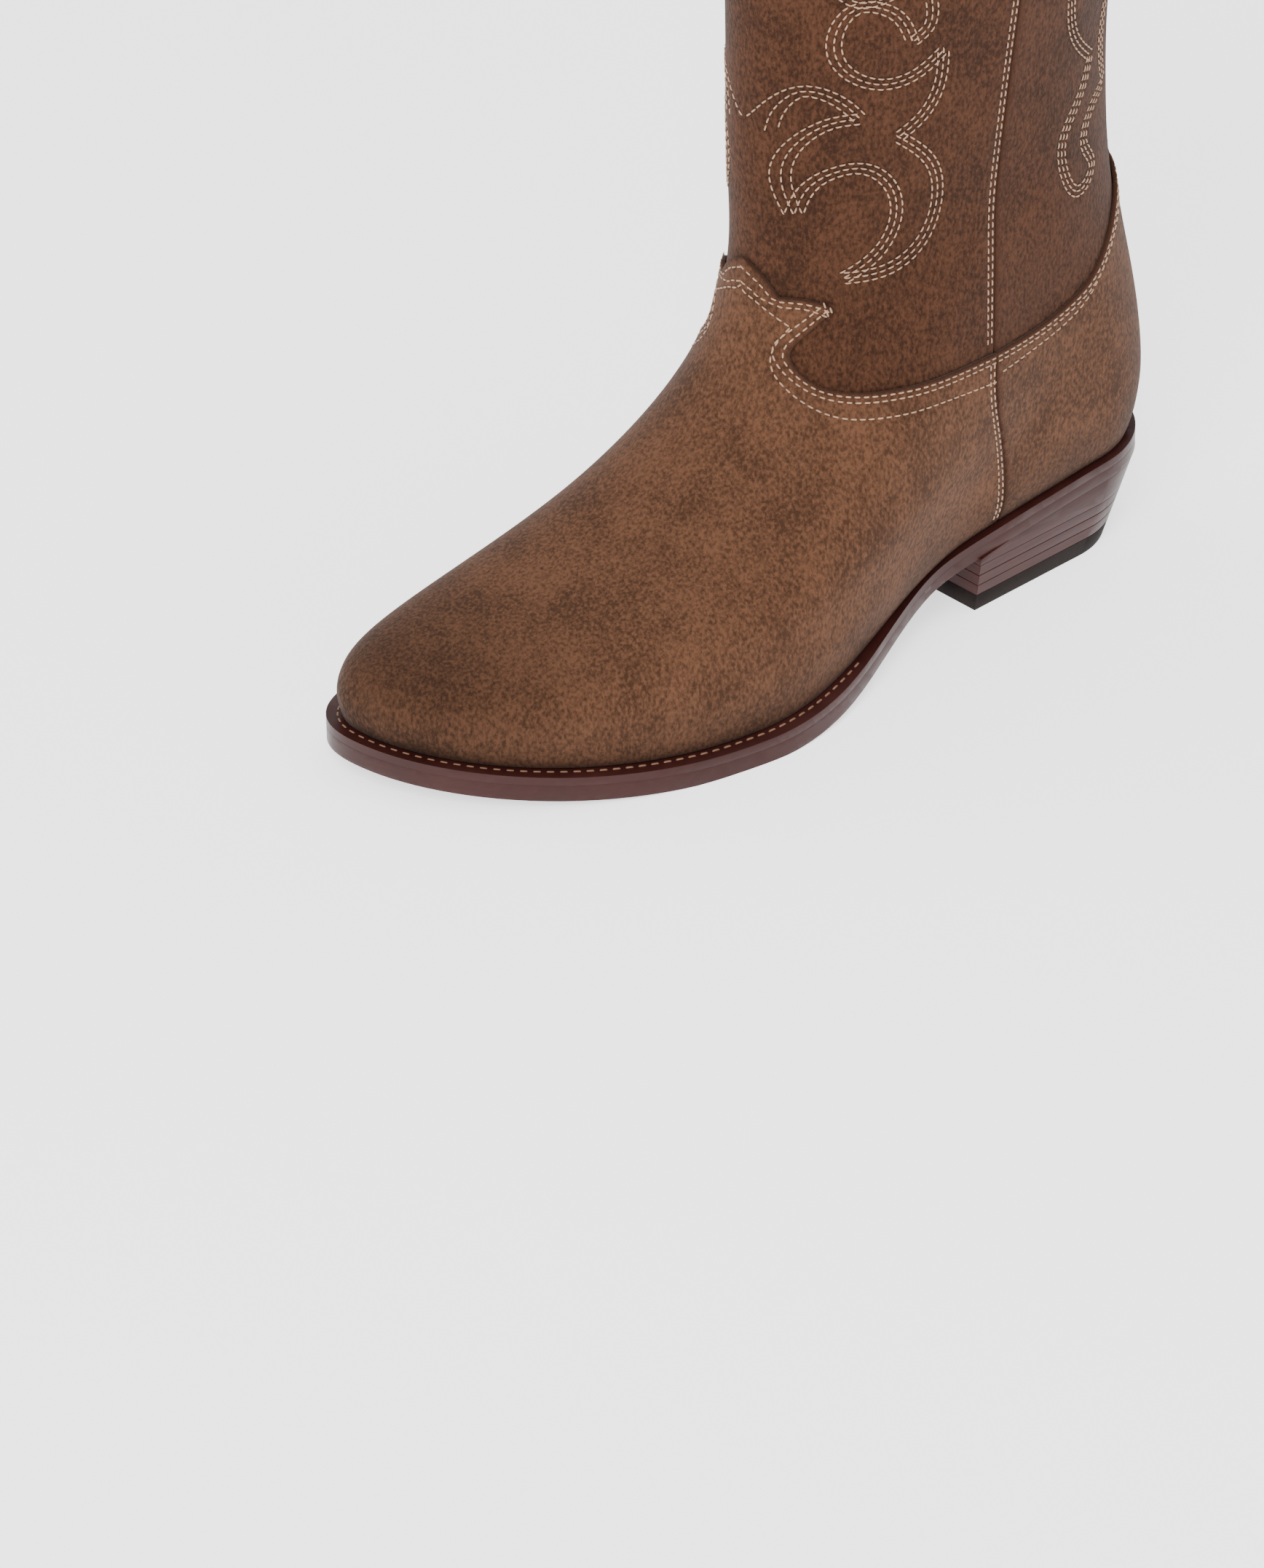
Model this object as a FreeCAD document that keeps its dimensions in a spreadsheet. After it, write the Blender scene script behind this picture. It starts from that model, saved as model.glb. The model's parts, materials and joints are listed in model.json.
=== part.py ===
import FreeCAD, Part
import math
import os
import Sketcher
from FreeCAD import Vector

# A left western boot. -Y is the toe, +Y the heel, +X the outer side of the foot, +Z is up.
# The origin is the centre of the heel's tread, on the ground. Millimetres.

document = FreeCAD.newDocument("cowboy_boot")
sheet = document.addObject("Spreadsheet::Sheet", "sizes")

driving_sizes = [
    # the last, seen from above and from the side
    ("foot_length", 294), ("ball_lateral", 59), ("ball_medial", 39),
    ("seat_half_width", 30), ("toe_swing", 40), ("toe_spring", 7), ("heel_seat_height", 35.5),
    ("heel_overhang", 9.5), ("heel_bulge", 3.3), ("ankle_hollow", 10.5),
    ("throat_depth", 154), ("throat_height", 147), ("ankle_height", 150),
    ("ankle_half_width", 37.5), ("collar_half_width", 49), ("collar_setback", 12),
    # the shaft and its top line
    ("shaft_height", 345), ("front_dip", 24), ("back_dip", 18),
    # leather thicknesses, from the outside in
    ("vamp_thickness", 1.5), ("panel_thickness", 1.5), ("lining_thickness", 1.2),
    # where the pieces of the upper meet
    ("seam_setback", 37), ("vamp_side_height", 101), ("vamp_peak_height", 150),
    ("counter_back_height", 136), ("vamp_lap", 10), ("toe_puff_length", 52),
    ("lining_seam_height", 118),
    # binding and pull straps
    ("binding_drop", 6), ("binding_thickness", 0.8), ("strap_width", 26),
    ("strap_leg", 48), ("strap_rise", 30), ("strap_thickness", 1.8), ("strap_spread", 13),
    # the bottom of the boot, from the feather line down
    ("welt_thickness", 3), ("welt_width", 5.5), ("waist_margin", 1.6), ("seat_margin", 3),
    ("welt_inset", 8), ("outsole_thickness", 5.5), ("waist_sole_thickness", 4),
    ("sole_wear_flat", 0.3), ("insole_thickness", 2.5), ("insole_clearance", 0.3),
    ("sock_thickness", 1), ("sock_inset", 1), ("cork_end", 95),
    # shank, pegs and nails
    ("shank_width", 14), ("shank_length", 104), ("shank_thickness", 1.2),
    ("shank_inset", 6), ("shank_shift", 2),
    ("peg_diameter", 2.4), ("peg_inset", 5), ("peg_pitch", 11), ("first_peg", 8),
    ("nail_diameter", 3), ("nail_inset", 9),
    # the heel
    ("tread_length", 77), ("tread_width", 56), ("top_lift_thickness", 6),
    ("lift_thickness", 4), ("side_flare", 0.13), ("back_flare", 0.44),
]
for row, (name, value) in enumerate(driving_sizes, 1):
    sheet.set("A%d" % row, name)
    sheet.set("B%d" % row, str(value))
    sheet.setAlias("B%d" % row, name)
document.recompute()
size = {name: float(sheet.get(name)) for name, value in driving_sizes}

lift_count = 3
pegs_a_side = 4
reach = 160.0               # cutting blocks reach this far to each side of the boot
block_depth = 10.0          # and start this far under the ground


# ---------------------------------------------------------------- curves of the last

def spline(values, places=None):
    """A natural cubic spline through values at whole numbers, or at the given places."""
    places = places or list(range(len(values)))
    count = len(places)
    step = [places[i + 1] - places[i] for i in range(count - 1)]
    upper = [0.0] * count
    right = [0.0] * count
    for i in range(1, count - 1):
        slope = (values[i + 1] - values[i]) / step[i] - (values[i] - values[i - 1]) / step[i - 1]
        pivot = 2 * (step[i - 1] + step[i]) - step[i - 1] * upper[i - 1]
        upper[i] = step[i] / pivot
        right[i] = (6 * slope - step[i - 1] * right[i - 1]) / pivot
    bend = [0.0] * count
    for i in range(count - 2, 0, -1):
        bend[i] = right[i] - upper[i] * bend[i + 1]

    def value_at(place):
        place = min(max(place, places[0]), places[-1])
        i = 0
        while i < count - 2 and place > places[i + 1]:
            i += 1
        after, before, gap = place - places[i], places[i + 1] - place, step[i]
        return ((bend[i] * before ** 3 + bend[i + 1] * after ** 3) / (6 * gap)
                + (values[i] / gap - bend[i] * gap / 6) * before
                + (values[i + 1] / gap - bend[i + 1] * gap / 6) * after)
    return value_at


def ease(share):
    share = min(max(share, 0.0), 1.0)
    return share * share * (3 - 2 * share)


sole_edge = size["welt_thickness"] + size["outsole_thickness"]
heel_back = size["tread_length"] / 2 + size["heel_overhang"]
toe_tip = heel_back - size["foot_length"]
throat = heel_back - size["throat_depth"]
breast = -size["tread_length"] / 2
toe_height = sole_edge + size["toe_spring"]
heel_rise = size["heel_seat_height"] - sole_edge

# Height of the feather line, where upper meets sole, against the share of length from the toe.
feather_shares = spline(
    [toe_height] + [sole_edge + size["toe_spring"] * s for s in (0.75, 0.45, 0.15)]
    + [sole_edge + heel_rise * s for s in (0, 0.093, 0.38, 0.725, 0.91, 0.97, 1)],
    places=[0, 0.04, 0.1, 0.19, 0.31, 0.44, 0.58, 0.715, 0.84, 0.92, 1])


toe_slope = (feather_shares(0.01) - toe_height) / 0.01


def feather_height(y):
    share = (y - toe_tip) / size["foot_length"]
    return feather_shares(share) + min(share, 0.0) * toe_slope


# Seventeen loops climb the last from the feather line, loop 0, to the collar, loop 16.
# Loops 0 to 10 lean on the foot, and from loop 10, at the throat, they circle the shaft.
throat_rise = size["throat_height"] - toe_height
shaft_rise = size["shaft_height"] - size["throat_height"]
front_y = spline(
    [toe_tip + s * (throat - toe_tip) for s in
     (0, -0.012, 0, 0.055, 0.235, 0.493, 0.72, 0.87, 0.95, 0.99, 1)]
    + [throat - 0.5, throat - 0.5, throat, throat + 0.5, throat + 1, throat + 1])
front_z = spline(
    [toe_height + s * throat_rise for s in
     (0, 0.058, 0.11, 0.163, 0.226, 0.315, 0.444, 0.581, 0.711, 0.848, 1)]
    + [size["throat_height"] + s * shaft_rise for s in (0.126, 0.283, 0.47, 0.657, 0.833, 1)])
back_y = spline(
    [heel_back + s * size["heel_bulge"] for s in (0, 0.45, 0.85, 1, 0.75, 0.15)]
    + [heel_back - s * size["ankle_hollow"] for s in (0.24, 0.57, 0.81, 0.95, 1, 1, 0.86, 0.43)]
    + [heel_back + s * size["collar_setback"] for s in (0.08, 0.54, 1)])
back_top = size["ankle_height"] + 15
back_z = spline(
    [size["heel_seat_height"] + s * (back_top - size["heel_seat_height"]) for s in
     (0, 0.058, 0.12, 0.19, 0.28, 0.39, 0.51, 0.64, 0.765, 0.88, 1)]
    + [back_top + s * (size["shaft_height"] - back_top) for s in
       (0.11, 0.25, 0.435, 0.63, 0.82, 1)])
ankle = size["ankle_half_width"]
shaft_widths = [ankle + s * (size["collar_half_width"] - ankle)
                for s in (0, 0.1, 0.26, 0.5, 0.72, 0.88, 1)]


def ball_widths(ball, bulge):
    instep = [ankle + s * (ball - ankle) for s in (0.88, 0.6, 0.38, 0.22, 0.12, 0.05)]
    return spline([ball + s * bulge for s in (0, 0.55, 0.9, 0.35)] + instep + shaft_widths)


def heel_widths(seat, extra):
    cup = [seat + s * (ankle + extra - seat) for s in
           (0.38, 0.58, 0.7, 0.76, 0.8, 0.84, 0.88, 0.93, 0.97)]
    return spline([seat] + cup + [width + extra for width in shaft_widths])


ball_half = {1: ball_widths(size["ball_lateral"], 3.0), -1: ball_widths(size["ball_medial"], 2.6)}
heel_half = {1: heel_widths(size["seat_half_width"] - 1, 0.0),
             -1: heel_widths(size["seat_half_width"] + 1, 1.0)}
# share of a loop's length taken by its round front, and length of its round back
front_share = spline([0.3, 0.3, 0.3, 0.3, 0.31, 0.325, 0.35, 0.38, 0.41, 0.44, 0.46,
                      0.48, 0.5, 0.5, 0.5, 0.5, 0.5])
back_round = spline([30, 33, 35, 36, 37, 38.5, 41, 45, 50, 56, 62, 68, 73, 77, 79, 81, 82.5])


def swing(y):
    """The toe turns in towards the other foot."""
    return -size["toe_swing"] * max(0.0, y / toe_tip) ** 1.6


def last_point(around, up):
    """A point of the last. around runs 0 front, 1 back on the outer side, minus on the inner
    side; up is the loop number, and runs straight on a little past both ends."""
    if up < 0:
        foot, next_up = last_point(around, 0), last_point(around, 0.25)
        return foot + (next_up - foot) * (up / 0.25)
    if up > 16:
        top, below = last_point(around, 16), last_point(around, 15.75)
        return top + (top - below) * ((up - 16) / 0.25)
    if around > 1:
        around -= 2
    elif around < -1:
        around += 2
    side = 1 if around >= 0 else -1
    share = (1 - math.cos(math.pi * abs(around))) / 2
    front, back = front_y(up), back_y(up)
    length = back - front
    y = front + length * share
    level = ease(up / 8)
    chord = feather_height(front) * (1 - share) + feather_height(back) * share
    z = front_z(up) + (back_z(up) - front_z(up)) * share + (1 - level) * (feather_height(y) - chord)
    blend = ease((share - 0.33 + 0.06 * level) / (0.37 + 0.16 * level))
    half = ball_half[side](up) * (1 - blend) + heel_half[side](up) * blend
    nose = front_share(up)
    tail = min(back_round(up) / length, 1 - nose)
    if share < nose:
        half *= math.sqrt(max(0.0, 1 - (1 - share / nose) ** 2))
    if share > 1 - tail:
        half *= math.sqrt(max(0.0, 1 - ((share - 1 + tail) / tail) ** 2))
    return Vector(side * half + swing(y), y, z)


def inset_point(around, up, depth):
    """The last's point moved straight in, by the thickness of the layers outside it."""
    across = last_point(around + 0.01, up) - last_point(around - 0.01, up)
    upward = last_point(around, up + 0.05) - last_point(around, up - 0.05)
    return last_point(around, up) - across.cross(upward).normalize() * depth


# ---------------------------------------------------------------- curved solids

def even_curve(points):
    """A curve through points at whole-number parameters, so curves side by side match."""
    curve = Part.BSplineCurve()
    curve.interpolate(Points=points, Parameters=[float(i) for i in range(len(points))])
    return curve


def even_surface(rows):
    """A surface through rows of points, so that surfaces with an edge in common share it."""
    row_curves = [even_curve(row) for row in rows]
    columns = zip(*[curve.getPoles() for curve in row_curves])
    column_curves = [even_curve(list(column)) for column in columns]
    surface = Part.BSplineSurface()
    surface.buildFromPolesMultsKnots(
        [curve.getPoles() for curve in column_curves],
        row_curves[0].getMultiplicities(), column_curves[0].getMultiplicities(),
        row_curves[0].getKnots(), column_curves[0].getKnots(), False, False, 3, 3)
    return surface


def closed_solid(faces):
    shell = Part.makeShell(faces)
    shell.sewShape()
    solid = Part.makeSolid(Part.Shell(shell.Faces))
    return solid if solid.Volume > 0 else solid.reversed()


def leather_layer(outer_depth, inner_depth):
    """The whole upper as one layer of leather between two depths under the last's skin."""
    levels = [-0.4 + 0.4 * i for i in range(43)]
    arounds = [i / 16.0 for i in range(17)]
    faces = []
    for side in (1, -1):
        skins = []
        for depth in (outer_depth, inner_depth):
            rows = [[inset_point(side * around, up, depth) for around in arounds] for up in levels]
            skins.append((rows, even_surface(rows).toShape()))
            faces.append(skins[-1][1])
        for end in (0, -1):
            rims = [even_curve(rows[end]).toShape() for rows, face in skins]
            faces.append(Part.makeRuledSurface(rims[0], rims[1]))
    return closed_solid(faces)


def side_prism(segments):
    """A solid right through the boot whose outline, seen from the side, is a ring of
    (y, z) point lists: a list of two is a straight line, a longer one a smooth curve."""
    edges = []
    for points in segments:
        places = [Vector(-reach, y, z) for y, z in points]
        if len(places) == 2 and places[0].distanceToPoint(places[1]) < 0.001:
            continue
        if len(places) == 2:
            edges.append(Part.LineSegment(places[0], places[1]).toShape())
        else:
            curve = Part.BSplineCurve()
            curve.interpolate(places)
            edges.append(curve.toShape())
    return Part.Face(Part.Wire(edges)).extrude(Vector(2 * reach, 0, 0))


def feather_line(y_from, y_to, drop):
    """Points along the feather line, lowered by drop(y)."""
    count = 12
    ys = [y_from + (y_to - y_from) * i / count for i in range(count + 1)]
    return [(y, feather_height(y) - drop(y)) for y in ys]


def level_drop(amount):
    return lambda y: amount


def plan_outline(margin):
    """The feather line seen from above, moved outwards by margin(y)."""
    points = []
    for i in range(64):
        around = -1 + i / 32.0
        along = last_point(around + 0.005, 0) - last_point(around - 0.005, 0)
        outwards = Vector(-along.y, along.x, 0).normalize()
        place = last_point(around, 0)
        points.append(Vector(place.x, place.y, 0) - outwards * margin(place.y))
    curve = Part.BSplineCurve()
    curve.interpolate(Points=points, PeriodicFlag=True)
    return Part.Face(Part.Wire(curve.toShape()))


def plan_prism(margin):
    prism = plan_outline(margin).extrude(Vector(0, 0, reach))
    prism.translate(Vector(0, 0, -block_depth))
    return prism


# ---------------------------------------------------------------- document helpers

def feature(name, shape):
    piece = document.addObject("Part::Feature", name)
    piece.Shape = shape
    return piece


def common(name, base, tool):
    piece = document.addObject("Part::Common", name)
    piece.Base, piece.Tool = base, tool
    return piece


def cut(name, base, tool):
    piece = document.addObject("Part::Cut", name)
    piece.Base, piece.Tool = base, tool
    return piece


def fuse(name, pieces):
    piece = document.addObject("Part::MultiFuse", name)
    piece.Shapes = pieces
    return piece


def block(name, depth, start, base=-block_depth, wide=2 * reach, left=-reach):
    """A cutting block that starts at a y and runs back by a depth, both sheet expressions."""
    piece = document.addObject("Part::Box", name)
    for target, text in (("Length", wide), ("Width", depth), ("Height", reach),
                         ("Placement.Base.x", left), ("Placement.Base.y", start),
                         ("Placement.Base.z", base)):
        piece.setExpression(target, str(text))
    return piece


nodes = []


def node(piece, name):
    piece.Label = name
    nodes.append(piece)
    return piece


# ---------------------------------------------------------------- lines between the pieces

vamp_depth = size["vamp_thickness"]
panel_depth = vamp_depth + size["panel_thickness"]
lining_depth = panel_depth + size["lining_thickness"]
seam_y = -size["seam_setback"]
side_z = size["vamp_side_height"]
peak_z = size["vamp_peak_height"]
lap = size["vamp_lap"]
front_edge = toe_tip - 40
back_edge = heel_back + 60
above = size["shaft_height"] + 60
seam_foot_z = feather_height(seam_y + 9)

# How far back the side seam lies at each height.
seam_at = spline([seam_y + s for s in (10, 9, 4, -3, -3, -1, 2, 7, 10)],
                 places=[0, seam_foot_z, 0.6 * side_z, 0.85 * side_z, side_z, 1.5 * side_z,
                         2 * side_z, size["shaft_height"] - 60, above])


def seam(z_from, z_to):
    heights = [z_from + (z_to - z_from) * i / 6 for i in range(7)]
    return [(seam_at(z), z) for z in heights]


seam_bottom = (seam_at(seam_foot_z), feather_height(seam_at(seam_foot_z)))
sole_front = feather_line(toe_tip, seam_bottom[0], level_drop(0))
sole_back = feather_line(seam_bottom[0], heel_back, level_drop(0))

# The vamp's top edge: a scallop along the side, an ear, and a peak on the instep.
scallop = [(seam_at(side_z), side_z), (seam_y - 25, side_z + 0.5), (throat + 24, side_z + 1),
           (throat + 12, side_z + 2), (throat + 5, side_z + 5), (throat + 2, side_z + 12),
           (throat + 6, side_z + 19), (throat + 14, side_z + 28)]
ear = [(throat + 14, side_z + 28), (throat + 8, side_z + 31), (throat + 3, side_z + 31)]
peak = [(throat + 3, side_z + 31), (throat + 0.5, peak_z - 10), (throat - 6, peak_z + 4)]
counter_z = size["counter_back_height"]
counter_top = [(seam_at(side_z), side_z), (seam_y + 20, side_z + 1.5), (seam_y + 40, side_z + 8),
               (seam_y + 54, side_z + 19), (heel_back - 10, counter_z), (back_edge, counter_z + 14)]

# The shaft panels run on under the vamp and the counter by the lap.
hidden_z = side_z - lap
panel_foot = [(seam_at(hidden_z), hidden_z), (seam_y - 30, hidden_z + 0.5),
              (throat, hidden_z + 4), (front_edge, hidden_z + 30)]
counter_foot = [(seam_at(hidden_z), hidden_z), (seam_y + 20, hidden_z + 1.5),
                (seam_y + 42, hidden_z + 8), (heel_back - 10, counter_z - 2 * lap),
                (back_edge, counter_z - lap)]
lining_z = size["lining_seam_height"]
lining_foot_front = [(seam_at(lining_z), lining_z), (front_edge, lining_z)]
lining_foot_back = [(seam_at(lining_z), lining_z), (back_edge, lining_z)]
collar_back = heel_back + size["collar_setback"]


def top_line(raised):
    """The collar dips in front and behind, and peaks near the side seams."""
    high = size["shaft_height"] + raised
    middle = (throat + collar_back) / 2
    quarter = (collar_back - throat) / 4
    front, back = size["front_dip"], size["back_dip"]
    return [(throat - quarter, high - front), (throat, high - 0.97 * front),
            (middle - 1.25 * quarter, high - 0.6 * front), (middle - 0.5 * quarter, high - 0.12 * front),
            (middle, high), (middle + 0.5 * quarter, high - 0.12 * back),
            (middle + 1.25 * quarter, high - 0.6 * back), (collar_back, high - 0.97 * back),
            (collar_back + quarter, high - back)]


def front_zone(top_lines, seam_z):
    """In front of the seam, over the feather line and under the given lines."""
    end = top_lines[-1][-1]
    corners = [end, (front_edge, end[1]), (front_edge, toe_height), sole_front[0]]
    return ([sole_front, [seam_bottom] + seam(seam_foot_z, seam_z)[1:]] + top_lines
            + [corners[i:i + 2] for i in range(3)])


def back_zone(top_points, seam_z):
    """Behind the seam, over the feather line and under the given line."""
    corners = [sole_back[-1], (back_edge, sole_back[-1][1]), top_points[-1]]
    down = ([seam_bottom] + seam(seam_foot_z, seam_z)[1:])[::-1]
    return [sole_back, corners[0:2], corners[1:3], top_points[::-1], down]


def shaft_zone(foot_points):
    """Over the given line, in front of the seam or behind it."""
    end = foot_points[-1]
    rise = seam(foot_points[0][1], above)
    corners = [rise[-1], (end[0], above), end]
    return [foot_points[::-1], rise, corners[0:2], corners[1:3]]


def under_zone(line):
    """Everything under a line that spans the whole boot."""
    corners = [line[-1], (line[-1][0], 0), (line[0][0], 0), line[0]]
    return [line] + [corners[i:i + 2] for i in range(3)]


# ---------------------------------------------------------------- the upper

vamp_layer = feature("vamp_layer", leather_layer(0, vamp_depth))
panel_layer = feature("panel_layer", leather_layer(vamp_depth, panel_depth))
lining_layer = feature("lining_layer", leather_layer(panel_depth, lining_depth))
below_top = feature("below_top", side_prism(under_zone(top_line(0))))


def trimmed(name, layer, zone):
    return common(name, layer, feature(name + "_zone", side_prism(zone)))


node(trimmed("vamp_cut", vamp_layer, front_zone([scallop, ear, peak], side_z)), "vamp")
node(trimmed("counter_cut", vamp_layer, back_zone(counter_top, side_z)), "heel_counter_cover")

fore_inside = trimmed("fore_inside", panel_layer, front_zone([panel_foot], hidden_z))
toe_block = block("toe_block", "sizes.toe_puff_length + 40",
                  "sizes.tread_length / 2 + sizes.heel_overhang - sizes.foot_length - 40")
node(common("toe_puff_cut", fore_inside, toe_block), "toe_puff")
node(cut("interlining_cut", fore_inside, toe_block), "vamp_interlining")
node(trimmed("stiffener_cut", panel_layer, back_zone(counter_foot, hidden_z)), "heel_stiffener")

for name, foot, side in (("front_shaft_panel", panel_foot, "front"),
                         ("back_shaft_panel", counter_foot, "back")):
    tall = trimmed("tall_%s_panel" % side, panel_layer, shaft_zone(foot))
    node(common("%s_panel_cut" % side, tall, below_top), name)
for name, foot, side in (("front_shaft_lining", lining_foot_front, "front"),
                         ("back_shaft_lining", lining_foot_back, "back")):
    tall = trimmed("tall_%s_lining" % side, lining_layer, shaft_zone(foot))
    node(common("%s_lining_cut" % side, tall, below_top), name)
node(trimmed("vamp_lining_cut", lining_layer, front_zone([lining_foot_front], lining_z)), "vamp_lining")
node(trimmed("heel_lining_cut", lining_layer, back_zone(lining_foot_back, lining_z)), "heel_lining")

# The binding is folded over the top edge, a channel as deep as its drop.
fold = size["binding_thickness"]
wall_layer = feature("wall_layer", leather_layer(vamp_depth, lining_depth))
fold_layer = feature("fold_layer", leather_layer(vamp_depth - fold, lining_depth + fold))
fold_top = trimmed("fold_top", fold_layer, under_zone(top_line(fold)))
fold_zone = feature("fold_zone", side_prism(under_zone(top_line(-size["binding_drop"]))))
fold_ring = cut("fold_ring", fold_top, fold_zone)
wall = common("wall", wall_layer, below_top)
binding = node(cut("binding_cut", fold_ring, wall), "collar_binding")


def wall_point(side, y, z, depth):
    """The point of a layer at a given place seen from the side, high on the shaft."""
    low, high = 10.0, 16.0
    for i in range(40):
        up = (low + high) / 2
        front, back = front_y(up), back_y(up)
        share = min(max((y - front) / (back - front), 0.0), 1.0)
        level = front_z(up) + (back_z(up) - front_z(up)) * share
        low, high = (up, high) if level < z else (low, up)
    return inset_point(side * math.acos(1 - 2 * share) / math.pi, low, depth)


def pull_strap(side):
    """One band up the outside of the shaft, over the top edge as a finger loop, and down
    the inside."""
    centre = seam_at(size["shaft_height"] - size["strap_leg"] / 2)
    thickness = size["strap_thickness"]
    skins = []
    for outside, inside, lift in ((vamp_depth, lining_depth, 0.0),
                                  (vamp_depth - thickness, lining_depth + thickness, thickness)):
        rows = []
        for across in range(5):
            y = centre + size["strap_width"] * (across / 4.0 - 0.5)
            feet = [size["shaft_height"] - size["strap_leg"] * (1 - i / 4.0) for i in range(5)]
            leg = [wall_point(side, y, z - 4, outside) for z in feet]
            lining_leg = [wall_point(side, y, z - 4, inside) for z in feet[::-1]]
            middle = (leg[-1] + lining_leg[0]) * 0.5
            arm = (leg[-1] - lining_leg[0]) * 0.5
            arch = []
            for i in range(1, 8):
                turn = math.pi * i / 8
                spread = 1 + size["strap_spread"] * math.sin(turn) ** 2 / arm.Length
                climb = (size["strap_rise"] + lift) * math.sin(turn)
                arch.append(middle + arm * (math.cos(turn) * spread) + Vector(0, 0, climb))
            rows.append(leg + arch + lining_leg)
        skins.append(rows)
    faces = [even_surface(rows).toShape() for rows in skins]
    rims = [[rows[0], rows[-1], [row[0] for row in rows], [row[-1] for row in rows]] for rows in skins]
    faces += [Part.makeRuledSurface(even_curve(inner).toShape(), even_curve(outer).toShape())
              for inner, outer in zip(rims[0], rims[1])]
    return closed_solid(faces)


for side, name in ((1, "pull_strap_lateral"), (-1, "pull_strap_medial")):
    band = feature(name + "_band", pull_strap(side))
    node(cut(name + "_cut", band, binding), name)


# ---------------------------------------------------------------- the sole

def slab(name, y_from, y_to, top_drop, bottom_drop):
    """A sheet of material that follows the feather line, between two drops under it."""
    top = feather_line(y_from, y_to, top_drop)
    bottom = feather_line(y_from, y_to, bottom_drop)
    return feature(name, side_prism([top, [top[-1], bottom[-1]], bottom[::-1], [bottom[0], top[0]]]))


def margin_between(fore, waist, seat):
    """A sole margin that narrows from the forepart to the waist and widens at the seat."""
    def margin(y):
        to_waist = ease((y - toe_tip - 120) / 70)
        to_seat = ease((y - breast + 22) / 26)
        return fore + (waist - fore) * to_waist + (seat - waist) * to_seat
    return margin


def sole_thickness(y):
    thin = ease((y - toe_tip - 120) / 60)
    return size["outsole_thickness"] * (1 - thin) + size["waist_sole_thickness"] * thin


ends = (toe_tip - 12, heel_back + 12)
welt_drop = level_drop(size["welt_thickness"])
outer_margin = margin_between(size["welt_width"], size["waist_margin"], size["seat_margin"])
inner_margin = level_drop(-size["welt_inset"])
inside_margin = level_drop(-lining_depth - size["insole_clearance"])
sock_margin = level_drop(-lining_depth - size["insole_clearance"] - size["sock_inset"])
outer_plan = feature("outer_plan", plan_prism(outer_margin))
inner_plan = feature("inner_plan", plan_prism(inner_margin))

rim_slab = slab("rim_slab", ends[0], ends[1], level_drop(0), welt_drop)
rim_outside = common("rim_outside", rim_slab, outer_plan)
rim = cut("rim", rim_outside, inner_plan)
behind_breast = block("behind_breast", 2 * reach, "-sizes.tread_length / 2")
node(cut("welt_cut", rim, behind_breast), "welt")
node(common("rand_cut", rim, behind_breast), "heel_rand")

filling = common("filling", rim_slab, inner_plan)
behind_cork = block("behind_cork", 2 * reach, "-sizes.cork_end")
node(cut("cork_cut", filling, behind_cork), "cork_filler")
board_blank = common("board_blank", filling, behind_cork)
shank_slab = slab("shank_slab", ends[0], ends[1],
                  level_drop(size["welt_thickness"] - size["shank_thickness"]), welt_drop)
shank_plan = block("shank_plan", "sizes.shank_length", "-sizes.cork_end + sizes.shank_inset",
                   wide="sizes.shank_width", left="-sizes.shank_width / 2 - sizes.shank_shift")
shank = node(common("shank_cut", shank_slab, shank_plan), "steel_shank")
node(cut("shank_board_cut", board_blank, shank), "shank_board")

insole_slab = slab("insole_slab", ends[0], ends[1], level_drop(-size["insole_thickness"]),
                   level_drop(0))
insole_plan = feature("insole_plan", plan_prism(inside_margin))
node(common("insole_cut", insole_slab, insole_plan), "insole_board")
sock_slab = slab("sock_slab", ends[0], ends[1],
                 level_drop(-size["insole_thickness"] - size["sock_thickness"]),
                 level_drop(-size["insole_thickness"]))
sock_plan = feature("sock_plan", plan_prism(sock_margin))
node(common("sock_cut", sock_slab, sock_plan), "sock_lining")


def sole_bottom(y):
    worn = size["sole_wear_flat"] * (1 - ease((y - toe_tip - 120) / 60))
    return size["welt_thickness"] + sole_thickness(y) + worn


sole_slab = slab("sole_slab", ends[0], ends[1], welt_drop, sole_bottom)
sole_blank = common("sole_blank", sole_slab, outer_plan)
above_ground = block("above_ground", 4 * reach, -2 * reach, base=0)
ground_sole = common("ground_sole", sole_blank, above_ground)

def feather_side(side, y):
    """How far across the feather line lies at y, on the outer or the inner side."""
    front, back = front_y(0), back_y(0)
    share = (y - front) / (back - front)
    return last_point(side * math.acos(1 - 2 * share) / math.pi, 0).x


# Wooden pegs in two rows hold the waist, along its edge.
pegs = []
for side, side_name in ((1, "lateral"), (-1, "medial")):
    for i in range(pegs_a_side):
        y = breast - size["first_peg"] - size["peg_pitch"] * i
        peg = document.addObject("Part::Cylinder", "peg_%s_%d" % (side_name, i + 1))
        peg.setExpression("Radius", "sizes.peg_diameter / 2")
        peg.setExpression("Height", str(reach))
        peg.setExpression("Placement.Base.x",
                          "%r - %d * sizes.peg_inset" % (feather_side(side, y), side))
        peg.setExpression("Placement.Base.y",
                          "-sizes.tread_length / 2 - sizes.first_peg - %d * sizes.peg_pitch" % i)
        pegs.append((peg, "waist_peg_%s_%d" % (side_name, i + 1)))
peg_set = fuse("peg_set", [peg for peg, name in pegs])
node(cut("outsole_cut", ground_sole, peg_set), "outsole")
for peg, name in pegs:
    node(common(name + "_cut", peg, ground_sole), name)


# ---------------------------------------------------------------- the heel

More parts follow.
